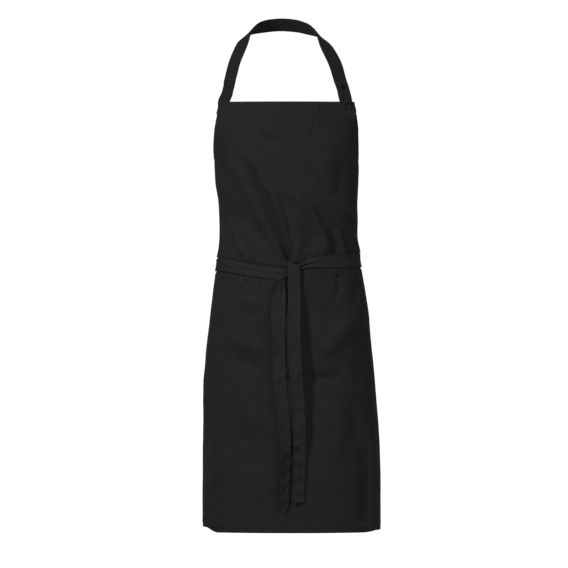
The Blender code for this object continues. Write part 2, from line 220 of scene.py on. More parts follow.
# Each fold is a line of (x, z), a half width, a height (a valley is negative), and the shares of
# its length over which its two ends fade.
BIB_FOLDS = [
    # the fan that runs from the bib's left half down to the knot
    ([(-0.1348, -0.2918), (-0.1029, -0.3357), (-0.075, -0.3875), (-0.0511, -0.4393),
      (-0.0232, -0.4911), (-0.0013, -0.529)], 0.0105, 0.0042, 0.35, 0.12),
    ([(-0.102, -0.285), (-0.083, -0.3237), (-0.0551, -0.3755), (-0.0351, -0.4273),
      (-0.0112, -0.4791), (0.0039, -0.527)], 0.008, -0.0056, 0.22, 0.05),
    ([(-0.068, -0.325), (-0.0312, -0.3795), (-0.0152, -0.4233), (-0.0033, -0.4672),
      (0.0067, -0.515)], 0.008, 0.005, 0.25, 0.15),
    ([(-0.1308, -0.4034), (-0.0949, -0.4273), (-0.067, -0.4552), (-0.0431, -0.4911)],
     0.013, -0.0034, 0.35, 0.35),
    ([(-0.0252, -0.3556), (-0.0132, -0.3835), (-0.0013, -0.4194), (0.0039, -0.4433),
      (0.0047, -0.4991)], 0.0042, -0.0014, 0.35, 0.5),
    ([(-0.011, -0.345), (0.0246, -0.3835), (0.0565, -0.4233), (0.0765, -0.4632),
      (0.0884, -0.508)], 0.012, 0.0064, 0.35, 0.1),
    ([(0.0475, -0.3835), (0.0725, -0.4194), (0.0964, -0.4473), (0.1004, -0.4752),
      (0.0944, -0.508)], 0.0105, -0.0042, 0.4, 0.08),
    ([(0.0985, -0.485), (0.0975, -0.498), (0.0945, -0.509)], 0.0032, -0.0022, 0.5, 0.05),
    ([(-0.0112, -0.4791), (-0.002, -0.505), (0.0044, -0.53)], 0.0036, -0.0034, 0.4, 0.03),
    ([(0.024, -0.438), (0.0466, -0.4652), (0.0525, -0.501)], 0.011, -0.0036, 0.4, 0.25),
    ([(0.0127, -0.526), (0.0207, -0.4991), (0.0227, -0.4652)], 0.0085, 0.0036, 0.1, 0.5),
    ([(0.006, -0.524), (0.0042, -0.509), (-0.001, -0.495)], 0.0026, -0.0026, 0.1, 0.5),
    ([(0.03, -0.525), (0.045, -0.511), (0.054, -0.498)], 0.0028, -0.0018, 0.1, 0.5),
    ([(0.1, -0.378), (0.1322, -0.4154), (0.152, -0.45)], 0.01, 0.004, 0.4, 0.6),
    ([(0.1143, -0.29), (0.1143, -0.3237), (0.114, -0.3675), (0.1362, -0.3954),
      (0.156, -0.4194)], 0.016, -0.0036, 0.35, 0.5),
    ([(0.112, -0.452), (0.119, -0.479), (0.125, -0.508)], 0.0045, 0.0026, 0.35, 0.1),
    ([(0.119, -0.45), (0.1263, -0.4791), (0.1313, -0.508)], 0.0036, -0.0036, 0.3, 0.05),
    ([(0.1362, -0.445), (0.148, -0.485), (0.153, -0.508)], 0.0055, 0.003, 0.4, 0.1),
    # the sharp crease at the left and the little gathers over the tie
    ([(-0.15, -0.424), (-0.1328, -0.4473), (-0.1228, -0.4752), (-0.1109, -0.503),
      (-0.1009, -0.5215)], 0.0026, -0.0028, 0.2, 0.05),
    ([(-0.14, -0.422), (-0.124, -0.446), (-0.113, -0.4752), (-0.1, -0.51)],
     0.007, 0.0028, 0.3, 0.15),
    ([(-0.0949, -0.49), (-0.0929, -0.504), (-0.0941, -0.5262)], 0.0024, 0.0024, 0.6, 0.06),
    ([(-0.1, -0.496), (-0.0985, -0.51), (-0.0995, -0.5262)], 0.0026, -0.0018, 0.6, 0.06),
    ([(-0.088, -0.498), (-0.0865, -0.51), (-0.0862, -0.5262)], 0.003, -0.0015, 0.6, 0.06),
    ([(-0.08, -0.493), (-0.0782, -0.508), (-0.0758, -0.5272)], 0.0024, 0.0024, 0.6, 0.06),
    ([(-0.07, -0.498), (-0.069, -0.512), (-0.069, -0.5272)], 0.003, -0.0015, 0.6, 0.06),
    # the chest
    ([(-0.082, -0.211), (-0.059, -0.245), (-0.033, -0.256), (-0.003, -0.265)],
     0.006, -0.0017, 0.3, 0.4),
    ([(-0.07, -0.22), (-0.045, -0.237), (-0.01, -0.252)], 0.009, 0.0018, 0.4, 0.4),
    ([(-0.108, -0.206), (-0.102, -0.234), (-0.1, -0.25)], 0.003, -0.0011, 0.3, 0.6),
    ([(0.0605, -0.206), (0.053, -0.24), (0.045, -0.27)], 0.003, -0.0012, 0.3, 0.6),
    ([(-0.15, -0.295), (-0.138, -0.33), (-0.125, -0.37)], 0.008, -0.0026, 0.4, 0.5),
    ([(-0.118, -0.25), (-0.09, -0.29), (-0.056, -0.33)], 0.015, 0.0022, 0.5, 0.5),
    ([(0.01, -0.27), (0.04, -0.32), (0.06, -0.37)], 0.02, -0.002, 0.5, 0.5),
    ([(0.083, -0.23), (0.09, -0.29), (0.085, -0.35)], 0.016, 0.0024, 0.5, 0.5),
    ([(0.138, -0.213), (0.145, -0.248), (0.15, -0.285)], 0.0032, -0.0014, 0.2, 0.4),
    # puckers of the top hem
    ([(-0.02, -0.176), (-0.012, -0.186), (-0.004, -0.197)], 0.0028, -0.0016, 0.3, 0.3),
    ([(-0.029, -0.178), (-0.025, -0.186), (-0.02, -0.195)], 0.003, 0.0009, 0.3, 0.3),
    ([(0.036, -0.177), (0.038, -0.197)], 0.0026, -0.0009, 0.3, 0.3),
    ([(0.062, -0.175), (0.066, -0.1985)], 0.0032, 0.0011, 0.3, 0.3),
    ([(-0.074, -0.176), (-0.07, -0.197)], 0.0032, 0.0009, 0.3, 0.3),
    ([(-0.152, -0.1835), (-0.14, -0.182), (-0.125, -0.18)], 0.0022, -0.0009, 0.3, 0.3),
]
SKIRT_FOLDS = [
    # the long ridge under the hanging ends and the valley beside it
    ([(0.006, -0.565), (0.002, -0.68), (-0.001, -0.82), (0.002, -0.96),
      (0.004, -1.09)], 0.034, 0.0084, 0.2, 0.62),
    ([(0.04, -0.57), (0.044, -0.68), (0.05, -0.8), (0.052, -0.92),
      (0.052, -1.06)], 0.014, -0.005, 0.12, 0.45),
    ([(0.044, -0.76), (0.0653, -0.779), (0.0967, -0.776), (0.129, -0.76)],
     0.011, -0.005, 0.2, 0.5),
    ([(0.07, -0.738), (0.105, -0.69), (0.15, -0.635)], 0.02, 0.005, 0.3, 0.4),
    ([(0.056, -0.6), (0.085, -0.63), (0.115, -0.67)], 0.017, -0.0028, 0.4, 0.5),
    ([(0.076, -0.815), (0.11, -0.88), (0.125, -0.97)], 0.026, 0.0036, 0.4, 0.5),
    ([(0.135, -0.8), (0.15, -0.87), (0.155, -0.96)], 0.018, -0.0034, 0.4, 0.5),
    ([(0.107, -0.548), (0.112, -0.58), (0.1, -0.62)], 0.006, -0.0028, 0.1, 0.6),
    ([(0.148, -0.555), (0.15, -0.59), (0.138, -0.64)], 0.007, -0.003, 0.1, 0.6),
    # the belly's lower edge at the left
    ([(-0.133, -0.688), (-0.1, -0.7), (-0.065, -0.712), (-0.04, -0.726)],
     0.015, 0.0034, 0.2, 0.3),
    ([(-0.125, -0.73), (-0.09, -0.748), (-0.055, -0.76)], 0.02, -0.0044, 0.3, 0.3),
    ([(-0.1384, -0.632), (-0.133, -0.69), (-0.127, -0.82), (-0.118, -0.89)],
     0.0028, -0.001, 0.3, 0.4),
    ([(-0.104, -0.56), (-0.098, -0.578), (-0.1, -0.6)], 0.0036, 0.0022, 0.05, 0.6),
    ([(-0.095, -0.56), (-0.09, -0.582)], 0.003, -0.0018, 0.05, 0.6),
    ([(-0.068, -0.562), (-0.065, -0.588), (-0.067, -0.61)], 0.0036, 0.002, 0.05, 0.6),
    ([(-0.06, -0.562), (-0.058, -0.585)], 0.003, -0.0018, 0.05, 0.6),
    ([(-0.115, -0.63), (-0.08, -0.642), (-0.05, -0.636)], 0.007, -0.0018, 0.4, 0.4),
    ([(-0.11, -0.606), (-0.08, -0.612), (-0.055, -0.603)], 0.008, 0.0018, 0.4, 0.4),
    ([(-0.12, -0.86), (-0.09, -0.92), (-0.07, -1.0)], 0.024, -0.003, 0.4, 0.5),
    ([(-0.095, -0.83), (-0.07, -0.87), (-0.05, -0.92)], 0.02, 0.0022, 0.4, 0.5),
    ([(-0.175, -0.8), (-0.179, -0.95), (-0.178, -1.11)], 0.01, -0.003, 0.4, 0.1),
    ([(0.179, -0.84), (0.1845, -0.94), (0.185, -1.12)], 0.0045, 0.003, 0.4, 0.02),
    ([(0.165, -0.88), (0.17, -1.0), (0.17, -1.11)], 0.013, -0.0022, 0.4, 0.1),
]


FOLD_DEPTH = 1.65


def folds(x, z, arc):
    """How far the cloth stands out from the body's curve."""
    out = np.zeros(np.broadcast(x, z).shape)
    front = band(arc, -0.24, 0.24, 0.03)
    for table in (BIB_FOLDS, SKIRT_FOLDS):
        for line, wide, high, fade_in, fade_out in table:
            away, _, share = along_line(x, z, line)
            fade = smooth(share / fade_in) * smooth((1 - share) / fade_out)
            out += FOLD_DEPTH * high * fade * bump(away, wide) * front
    # the bib's upper corners are pulled up by the strap and stand out flat from the ribs
    corner = curve_through([-0.300, -0.255, -0.225, -0.203, -0.190, -0.178, -0.150],
                           [0.0, 0.0065, 0.0115, 0.0115, 0.0085, 0.0062, 0.0055], z)
    held = np.exp(-(((x - 0.1345) ** 2 + (z + 0.182) ** 2) / 0.0105**2))
    out += corner * smooth((np.abs(arc) - 0.085) / 0.075) * (1 - held)
    # gathers where the tie draws the cloth in, above it and below it
    near = bump(z - (WAIST_Z + 0.006), 0.034)
    pleat = np.sin(arc * 2 * math.pi / 0.0135 + 2.2 * noise(arc * 30, z * 9, 11))
    crowd = 0.22 + 0.78 * bump(arc + 0.088, 0.026) + 0.5 * bump(arc - 0.10, 0.03)
    out += 0.0011 * near * pleat * crowd
    # the cloth is drawn in under the tie and bellies out above and below
    tie = tie_line(arc)
    over = z - tie
    out -= 0.0026 * bump(over, 0.012)
    edge = tie_half_front(arc)
    swell = 0.0038 - 0.0026 * smooth((arc + 0.01) / 0.03)
    up = over - edge
    down = -over - edge
    out += swell * smooth((up + 0.0015) / 0.0060) * np.exp(-np.maximum(up - 0.0045, 0) / 0.018)
    out += 0.0020 * smooth((down + 0.0010) / 0.0080) * np.exp(-np.maximum(down - 0.0070, 0) / 0.020)
    # where the sides stand out a little further than the body's curve
    out += 0.0030 * smooth((-arc - 0.10) / 0.08) * band(z, -1.10, -0.79, 0.05)
    out += 0.0035 * smooth((-arc - 0.08) / 0.06) * bump(z + 0.350, 0.030)
    out += 0.0035 * smooth((arc - 0.10) / 0.06) * bump(z + 0.645, 0.045)
    # soft unevenness all over
    out += 0.0014 * noise(arc * 11 + 3.1, z * 7 + 1.7, 3)
    out += 0.0006 * noise(arc * 30 + z * 9, z * 18, 4)
    out += 0.00016 * noise(arc * 110, z * 70, 5)
    # the skirt's sides and back edges hang in flutes
    low = smooth((WAIST_Z - 0.05 - z) / 0.35)
    wing = smooth((np.abs(arc) - 0.215) / 0.10)
    out += 0.0050 * low * wing * np.sin(np.abs(arc) * 2 * math.pi / 0.105 + 3.0 * z + np.sign(arc))
    return out


def tie_line(arc):
    """The height of the middle of the waist tie round the front and the sides."""
    left = curve_through([-0.170, -0.1525, -0.099, -0.0726, -0.044, -0.0168, 0.012],
                         [-0.5285, -0.5290, -0.5370, -0.5412, -0.5452, -0.5488, -0.5500], arc)
    right = curve_through([0.012, 0.027, 0.0528, 0.063, 0.0913, 0.1555, 0.170],
                          [-0.5360, -0.5322, -0.5247, -0.5232, -0.5211, -0.5190, -0.5190], arc)
    return np.where(arc < 0.012, left, right)


def tie_half_front(arc):
    """Half the width that the tie has at a place in front."""
    right = curve_through([0.012, 0.020, 0.027, 0.042, 0.060, 0.082, 0.125],
                          [0.0056, 0.0058, 0.0062, 0.0092, 0.0120, 0.0134, 0.0148], arc)
    return np.where(arc < 0.012, 0.0138, right)


def cloth_at(z, arc, out=0.0):
    """Points of the panel's face, with directions square to the body."""
    p, n = BODY.read(z, arc)
    d = folds(p[..., 0], p[..., 2], np.broadcast_to(arc, p.shape[:-1])) + out
    p = p + n * d[..., None]
    # the hem hangs a little higher round the sides than in front
    raised = 0.0075 - 0.0035 * np.sign(arc)
    p[..., 2] += raised * smooth((np.abs(arc) - 0.172) / 0.045) * (1 - smooth((z - HEM_Z) / 0.20))
    return p, n


# ---------------------------------------------------------------- meshes
def normals_of(p):
    """Directions square to a grid of points."""
    a = np.gradient(p, axis=0)
    b = np.gradient(p, axis=1)
    n = np.cross(a, b)
    return n / np.maximum(np.linalg.norm(n, axis=-1, keepdims=True), 1e-12)


def make_mesh(name, points, faces, uv=None):
    mesh = bpy.data.meshes.new(name)
    mesh.from_pydata(points.tolist(), [], faces)
    if uv is not None:
        layer = mesh.uv_layers.new(name="cloth")
        index = np.zeros(len(mesh.loops), np.int32)
        mesh.loops.foreach_get("vertex_index", index)
        layer.data.foreach_set("uv", uv[index].astype(np.float32).ravel())
    mesh.shade_smooth()
    made = bpy.data.objects.new(name, mesh)
    bpy.context.scene.collection.objects.link(made)
    return made


def grid_faces(rows, cols, start, flip):
    i, j = np.meshgrid(np.arange(rows - 1), np.arange(cols - 1), indexing="ij")
    a = start + i * cols + j
    quads = np.stack([a, a + 1, a + cols + 1, a + cols], -1).reshape(-1, 4)
    return quads[:, ::-1] if flip else quads


def shell(name, outer, inner, uv, material, angle=50):
    """A closed sheet between two grids of points."""
    rows, cols = outer.shape[:2]
    count = rows * cols
    points = np.concatenate([outer.reshape(-1, 3), inner.reshape(-1, 3)])
    faces = [grid_faces(rows, cols, 0, False), grid_faces(rows, cols, count, True)]
    ring = list(range(cols)) + [i * cols + cols - 1 for i in range(1, rows)]
    ring += [(rows - 1) * cols + j for j in range(cols - 2, -1, -1)]
    ring += [i * cols for i in range(rows - 2, 0, -1)]
    rim = [(b, a, a + count, b + count) for a, b in zip(ring, ring[1:] + ring[:1])]
    quads = np.concatenate(faces + [np.array(rim)])
    made = make_mesh(name, points, quads.tolist(), np.concatenate([uv.reshape(-1, 2)] * 2))
    made.data.set_sharp_from_angle(angle=math.radians(angle))
    made.data.materials.append(material)
    return made


def strip(name, middle, way, half, cols, thick, material, lift=None, u0=0.0, edge=0.35, angle=60):
    """A flat tape along a line. lift gives how far each point stands off the flat."""
    middle, way = np.asarray(middle, float), np.asarray(way, float)
    way = way / np.linalg.norm(way, axis=1, keepdims=True)
    s = np.linspace(-1, 1, cols)
    s = np.sign(s) * (1 - (1 - np.abs(s)) ** 1.25)
    half = np.broadcast_to(half, len(middle))
    flat = middle[:, None] + way[:, None] * (half[:, None] * s)[..., None]
    n = normals_of(flat)
    long = lengths(middle)
    if lift is not None:
        flat = flat + n * lift(s[None, :], long[:, None])[..., None]
        n = normals_of(flat)
    full = thick * (1 - edge * np.abs(s) ** 12) / 2
    seam = 0.00018 * bump(np.abs(s) - 0.84, 0.05)
    depth = (full - seam)[None, :, None]
    uv = np.stack(np.broadcast_arrays(u0 + s[None, :] * half[:, None], long[:, None]), -1)
    made = shell(name, flat + n * depth, flat - n * depth, uv, material, angle)
    return made, flat, n, long


def both_faces(lines, up):
    """Runs of stitches on both faces of a tape, from lines of (points, outward directions)."""
    return [(p + n * sign * up, n * sign) for p, n in lines for sign in (1, -1)]


def stitches(name, runs, material, pitch=0.0034, long=0.0025, thick=0.00042):
    """Thread stitches lying on lines of (points, outward directions)."""
    points, faces = [], []
    sides = 5
    for line, out in runs:
        step = lengths(line)
        for at in np.arange(pitch * 0.5, step[-1] - pitch * 0.4, pitch):
            ends = [at - long / 2, at, at + long / 2]
            c = np.stack([[np.interp(e, step, line[:, k]) for k in range(3)] for e in ends])
            n = np.array([np.interp(at, step, out[:, k]) for k in range(3)])
            n /= np.linalg.norm(n)
            t = c[2] - c[0]
            t /= np.linalg.norm(t)
            b = np.cross(t, n)
            base = len(points)
            for e, (wide, up) in enumerate(((0.45, -0.25), (1.0, 0.15), (0.45, -0.25))):
                for k in range(sides):
                    turn = 2 * math.pi * k / sides
                    points.append(
                        c[e] + n * (thick * (up + 0.5 * wide * math.sin(turn)))
                        + b * (thick * 0.5 * wide * math.cos(turn))
                    )
            for e in (0, 1):
                for k in range(sides):
                    m = (k + 1) % sides
                    a = base + e * sides
                    faces.append((a + k, a + m, a + sides + m, a + sides + k))
            faces.append(tuple(base + k for k in range(sides))[::-1])
            faces.append(tuple(base + 2 * sides + k for k in range(sides)))
    made = make_mesh(name, np.array(points), faces)
    made.data.materials.append(material)
    return made


# ---------------------------------------------------------------- materials
def new_material(name):
    made = bpy.data.materials.new(name)
    made.use_nodes = True
    nodes = made.node_tree.nodes
    return made, nodes, made.node_tree.links, nodes["Principled BSDF"]


def noise_texture(nodes, links, scale, detail=2):
    """Noise in the piece's own space."""
    place = nodes.new("ShaderNodeTexCoord")
    node = nodes.new("ShaderNodeTexNoise")
    node.inputs["Scale"].default_value = scale
    node.inputs["Detail"].default_value = detail
    links.new(place.outputs["Object"], node.inputs["Vector"])
    return node


def two_tone(nodes, links, colour, fade, factor):
    """A colour that some noise shifts towards a multiple of itself."""
    mix = nodes.new("ShaderNodeMixRGB")
    mix.inputs["Color1"].default_value = (*colour, 1)
    mix.inputs["Color2"].default_value = (*[c * fade for c in colour], 1)
    links.new(factor.outputs["Fac"], mix.inputs["Fac"])
    return mix.outputs[0]


def uneven_roughness(nodes, links, factor, smoothest, roughest, shader):
    """Roughness that follows some noise between two values."""
    rough = nodes.new("ShaderNodeMapRange")
    rough.inputs["To Min"].default_value = smoothest
    rough.inputs["To Max"].default_value = roughest
    links.new(factor.outputs["Fac"], rough.inputs["Value"])
    links.new(rough.outputs[0], shader.inputs["Roughness"])


def add_relief(nodes, links, height, strength, deep, shader):
    """Fine relief that is too small for the mesh."""
    relief = nodes.new("ShaderNodeBump")
    relief.inputs["Strength"].default_value = strength
    relief.inputs["Distance"].default_value = deep
    links.new(height, relief.inputs["Height"])
    links.new(relief.outputs["Normal"], shader.inputs["Normal"])


def cloth_material(name, colour, fade, twill=0.0011):
    """Fine black twill: diagonal ribs, threads, slubs and a little unevenness of the dye."""
    made, nodes, links, shader = new_material(name)
    shader.inputs["Specular IOR Level"].default_value = 0.18
    shader.inputs["Sheen Weight"].default_value = 0.03
    shader.inputs["Sheen Roughness"].default_value = 0.55
    uv = nodes.new("ShaderNodeUVMap")
    uv.uv_map = "cloth"
    apart = nodes.new("ShaderNodeSeparateXYZ")
    links.new(uv.outputs["UV"], apart.inputs[0])

    def math_node(kind, a, b=None):
        node = nodes.new("ShaderNodeMath")
        node.operation = kind
        for socket, value in zip(node.inputs, (a, b)):
            if value is None:
                continue
            if isinstance(value, (int, float)):
                socket.default_value = value
            else:
                links.new(value, socket)
        return node.outputs[0]

    def wave(value, pitch):
        return math_node("SINE", math_node("MULTIPLY", value, 2 * math.pi / pitch))

    u, v = apart.outputs[0], apart.outputs[1]
    rib = wave(math_node("ADD", u, v), twill)
    warp = wave(u, twill * 0.42)
    weft = wave(v, twill * 0.47)
    slub = noise_texture(nodes, links, 520)
    height = math_node("ADD", math_node("MULTIPLY", rib, 0.5), math_node("MULTIPLY", warp, 0.25))
    height = math_node("ADD", height, math_node("MULTIPLY", weft, 0.22))
    height = math_node("ADD", height, math_node("MULTIPLY", slub.outputs["Fac"], 0.8))
    add_relief(nodes, links, height, 0.35, 0.00012, shader)

    dye = two_tone(nodes, links, colour, fade, noise_texture(nodes, links, 5.5, 3))
    thread = nodes.new("ShaderNodeMixRGB")
    thread.blend_type = "MULTIPLY"
    thread.inputs["Fac"].default_value = 0.62
    links.new(dye, thread.inputs["Color1"])
    grey = nodes.new("ShaderNodeCombineXYZ")
    fleck = noise_texture(nodes, links, 380, 4)
    fleck.inputs["Roughness"].default_value = 0.7
    drawn = nodes.new("ShaderNodeCombineXYZ")
    links.new(math_node("MULTIPLY", u, 420), drawn.inputs[0])
    links.new(math_node("MULTIPLY", v, 26), drawn.inputs[1])
    streak = nodes.new("ShaderNodeTexNoise")
    streak.inputs["Scale"].default_value = 1
    streak.inputs["Detail"].default_value = 3
    links.new(drawn.outputs[0], streak.inputs["Vector"])
    uneven = math_node("ADD", math_node("MULTIPLY", fleck.outputs["Fac"], 2.3),
                       math_node("MULTIPLY", streak.outputs["Fac"], 0.7))
    tone = math_node("ADD", math_node("MULTIPLY", rib, 0.2), math_node("SUBTRACT", uneven, 0.80))
    for k in range(3):
        links.new(tone, grey.inputs[k])
    links.new(grey.outputs[0], thread.inputs["Color2"])
    links.new(thread.outputs[0], shader.inputs["Base Color"])
    rough = math_node("ADD", math_node("MULTIPLY", slub.outputs["Fac"], 0.12), 0.80)
    links.new(rough, shader.inputs["Roughness"])
    return made


def thread_material(name, colour):
    made, nodes, links, shader = new_material(name)
    shader.inputs["Specular IOR Level"].default_value = 0.35
    shader.inputs["Sheen Weight"].default_value = 0.08
    ply = noise_texture(nodes, links, 900)
    links.new(two_tone(nodes, links, colour, 1.7, ply), shader.inputs["Base Color"])
    uneven_roughness(nodes, links, ply, 0.55, 0.75, shader)
    return made


def lacquer_material(name, colour, metal, smoothest, roughest):
    """Black lacquer with a fine uneven grain."""
    made, nodes, links, shader = new_material(name)
    shader.inputs["Metallic"].default_value = metal
    grain = noise_texture(nodes, links, 700, 4)
    links.new(two_tone(nodes, links, colour, 2.2, grain), shader.inputs["Base Color"])
    uneven_roughness(nodes, links, grain, smoothest, roughest, shader)
    add_relief(nodes, links, grain.outputs["Fac"], 0.15, 0.00005, shader)
    return made


PANEL_CLOTH = cloth_material("panel_twill", (0.0150, 0.0150, 0.0151), 1.26)
# The ties, hanging ends and knot get a lighter copy of the panel's black twill: painted light, for the
# tie lit where it faces up.
TIE_CLOTH_PAINTED_LIGHT = cloth_material("tie_twill_painted_light", (0.0173, 0.0173, 0.0174), 1.18, twill=0.0010)
# The neck strap gets a darker copy of the panel's black twill: painted shade, to dim its legs where
# the fill lamp lights them.
STRAP_CLOTH_PAINTED_SHADE = cloth_material("strap_twill_painted_shade", (0.0118, 0.0118, 0.0119), 1.18, twill=0.0010)
THREAD = thread_material("black_thread", (0.010, 0.010, 0.0105))
LACQUER = lacquer_material("black_lacquer", (0.006, 0.006, 0.007), 0.6, 0.26, 0.46)
CAP_LACQUER = lacquer_material("matt_cap_lacquer", (0.0070, 0.0070, 0.0072), 0.0, 0.86, 0.97)


# ---------------------------------------------------------------- the panel
def half_width(z):
    t = np.clip((BIB_TOP_Z - z) / (BIB_TOP_Z - WAIST_Z), 0, 1)
    corner = 0.0100 * smooth((z + 0.204) / 0.020)
    return BIB_TOP_HALF + (PANEL_HALF - BIB_TOP_HALF) * (0.55 * t + 0.45 * t * t) + corner


def spaced(stops):
    """Rising places from (start, end, step) stretches."""
    out = []
    for start, end, step in stops:
        out.append(np.linspace(start, end, max(2, round(abs(end - start) / step) + 1))[:-1])
    return np.concatenate(out + [[stops[-1][1]]])


def panel_grid():
    z = spaced([
        (BIB_TOP_Z, BIB_TOP_Z - 0.004, 0.0010),
        (BIB_TOP_Z - 0.004, BIB_TOP_Z - 0.024, 0.0025),
        (BIB_TOP_Z - 0.024, BIB_TOP_Z - 0.031, 0.0008),
        (BIB_TOP_Z - 0.031, -0.470, 0.0042),
        (-0.470, -0.600, 0.0024),
        (-0.600, HEM_Z + 0.014, 0.0056),
        (HEM_Z + 0.014, HEM_Z, 0.0009),
    ])
    inside = spaced([(0.0, 0.003, 0.0010), (0.003, 0.011, 0.0027), (0.011, 0.018, 0.0009)])
    half = half_width(z)[:, None]
    s = np.linspace(-1, 1, 171)[None, :]
    across = s * (0.74 + 0.26 * s * s)
    hem = inside[:-1]
    arc = np.concatenate([-half + hem, across * (half - 0.018), (half - hem)[:, ::-1]], 1)
    return np.broadcast_to(z[:, None], arc.shape).copy(), arc


def hem_marks(z, arc):
    """How far a place is from the cut edges: top, sides and bottom."""
    return BIB_TOP_Z - z, half_width(z) - np.abs(arc), z - HEM_Z


def hem_relief(z, arc):
    """How far the face stands out at the hems, and where the cloth is double."""
    top, side, low = hem_marks(z, arc)
    in_top, in_side, in_low = TOP_HEM - top, SIDE_HEM - side, BOTTOM_HEM - low
    doubled = np.maximum.reduce([smooth(d / 0.0012 + 0.5) for d in (in_top, in_side, in_low)])
    line = sum(bump(d - 0.0015, 0.0007) for d in (in_top, in_side, in_low))
    pucker = 0.5 + 0.5 * np.sin((arc + z) * 2 * math.pi / 0.0034)
    face = 0.00030 * doubled - (0.00030 + 0.00010 * pucker) * np.clip(line, 0, 1)
    # under the top hem's seam the single cloth swells out again, likewise above the bottom hem's
    for past, deep in ((-in_top, 0.0025), (-in_low, 0.0010), (-in_side, 0.0005)):
        face += deep * smooth((past + 0.0012) / 0.0030) * np.exp(-np.maximum(past, 0) / 0.012)
    # the turned edge ripples a little between its stitches
    face += 0.00022 * noise(arc * 160, z * 160, 21) * np.clip(doubled, 0, 1)
    return face, doubled


def make_panel():
    z, arc = panel_grid()
    face, doubled = hem_relief(z, arc)
    p, n = cloth_at(z, arc)
    outer = p + n * face[..., None]
    inner = p - n * (CLOTH + 0.0011 * doubled)[..., None]
    # folded edges are round, not square
    for d in hem_marks(z, arc):
        near = 0.55 * (1 - smooth(d / 0.0012))[..., None]
        middle = (outer + inner) / 2
        outer = outer + (middle - outer) * near
        inner = inner + (middle - inner) * near
    uv = np.stack([arc, z], -1)
    return shell("panel", outer, inner, uv, PANEL_CLOTH, 70)


def hem_stitches():
    runs = []
    z = BIB_TOP_Z - TOP_HEM + 0.0015
    half = half_width(np.array(z)) - 0.002
    arc = np.linspace(-half, half, 400)
    runs.append(cloth_at(np.full_like(arc, z), arc, 0.00005))
    z = HEM_Z + BOTTOM_HEM - 0.0015
    arc = np.linspace(-PANEL_HALF + 0.002, PANEL_HALF - 0.002, 500)
    runs.append(cloth_at(np.full_like(arc, z), arc, 0.00005))
    z = np.linspace(BIB_TOP_Z - TOP_HEM, HEM_Z + 0.001, 700)
    for side in (-1, 1):
        arc = side * (half_width(z) - SIDE_HEM + 0.0015)
        runs.append(cloth_at(z, arc, 0.00005))
    return stitches("hem_stitching", runs, THREAD)


panel = make_panel()
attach(panel, "apron")
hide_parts("apron_panel", "top_hem", "bottom_hem", "left_side_hem", "right_side_hem")
hem_thread = hem_stitches()
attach(hem_thread, "apron")

# ---------------------------------------------------------------- the neck strap
# The strap's middle line and the way across it towards the neck, from the bib up to the nape.
LEFT_LEG = [
    ((-0.1330, -0.1205, -0.1480), (0.77, -0.62, -0.10)),
    ((-0.1276, -0.1150, -0.1224), (0.80, -0.58, -0.11)),
    ((-0.1167, -0.1080, -0.0806), (0.80, -0.58, -0.18)),
    ((-0.1030, -0.0980, -0.0470), (0.80, -0.58, -0.12)),
    ((-0.0939, -0.0830, -0.0260), (0.77, -0.50, 0.40)),
    ((-0.0870, -0.0660, -0.0160), (0.60, -0.55, 0.58)),
    ((-0.0760, -0.0450, -0.0085), (0.42, -0.52, 0.74)),
    ((-0.0590, -0.0220, -0.0022), (0.20, -0.46, 0.86)),
]
RIGHT_LEG = [
    ((0.1247, -0.1215, -0.1560), (-0.91, -0.40, -0.12)),
    ((0.1213, -0.1188, -0.1420), (-0.88, -0.45, -0.15)),
    ((0.1162, -0.1152, -0.1269), (-0.88, -0.45, -0.18)),
    ((0.1030, -0.1080, -0.0840), (-0.90, -0.38, -0.22)),
    ((0.0860, -0.0980, -0.0507), (-0.80, -0.56, -0.16)),
    ((0.0745, -0.0830, -0.0300), (-0.68, -0.66, 0.30)),
    ((0.0672, -0.0660, -0.0190), (-0.50, -0.66, 0.55)),
    ((0.0580, -0.0450, -0.0130), (-0.36, -0.60, 0.70)),
    ((0.0420, -0.0190, -0.0056), (-0.18, -0.50, 0.85)),
]
NAPE = [
    (-0.0400, -0.0070, 0.0016, 0.08, -0.46, 1),
    (-0.0200, 0.0000, 0.0036, 0.02, -0.46, 1),
    (0.0000, 0.0010, 0.0032, -0.04, -0.46, 1),
    (0.0200, -0.0030, 0.0006, -0.10, -0.46, 1),
]
STRAP_HALF, STRAP_THICK = 0.0154, 0.0015
STRAP_FACE = STRAP_THICK / 2 - 0.0002
SEWN_DEPTH, SNAP_DEPTH = -0.0029, -0.0072
SEWN_PLACES = (-0.1392, -0.1402, -0.1425)
SNAP_PLACES = (0.1325, 0.1340, 0.1375)
SNAP_FACING = (-0.95, -0.30, -0.05)
SEWN_FACING = (0.88, -0.46, -0.05)


def behind_bib(places, drops, depth, facing, sewn):
    """Stations of a strap end that lies behind the bib, at places across it.

    The sewn end follows the cloth and the end with the studs keeps to the body's curve. Both
    turn to their own facing at the bib's top edge.
    """
    rows = []
    for drop in drops:
        z = np.array(BIB_TOP_Z - drop)
        x = float(np.interp(drop, (0.0, 0.012, 0.036), places))
        arc = float(BODY.arc_at(x, z))
        near = np.array([arc - 0.008, arc, arc + 0.008])
        if sewn:
            p, n = cloth_at(np.full(3, z), near, depth)
        else:
            p, n = BODY.read(np.full(3, z), near)
            p = p + n * depth
        way = (p[0] - p[2]) * np.sign(arc)
        way = way / np.linalg.norm(way)
        way = way + np.array(facing) * 2.5 * (1 - smooth(drop / 0.0065))
        rows.append(np.concatenate([p[1], way / np.linalg.norm(way)]))
    return rows


def smooth_path(rows, step):
    rows = np.array(rows)
    keys = lengths(rows[:, :3])
    at = np.linspace(0, keys[-1], round(keys[-1] / step) + 1)
    fine = curve_through(keys, rows, at)
    way = fine[:, 3:] / np.linalg.norm(fine[:, 3:], axis=1, keepdims=True)
    return fine[:, :3], way, at


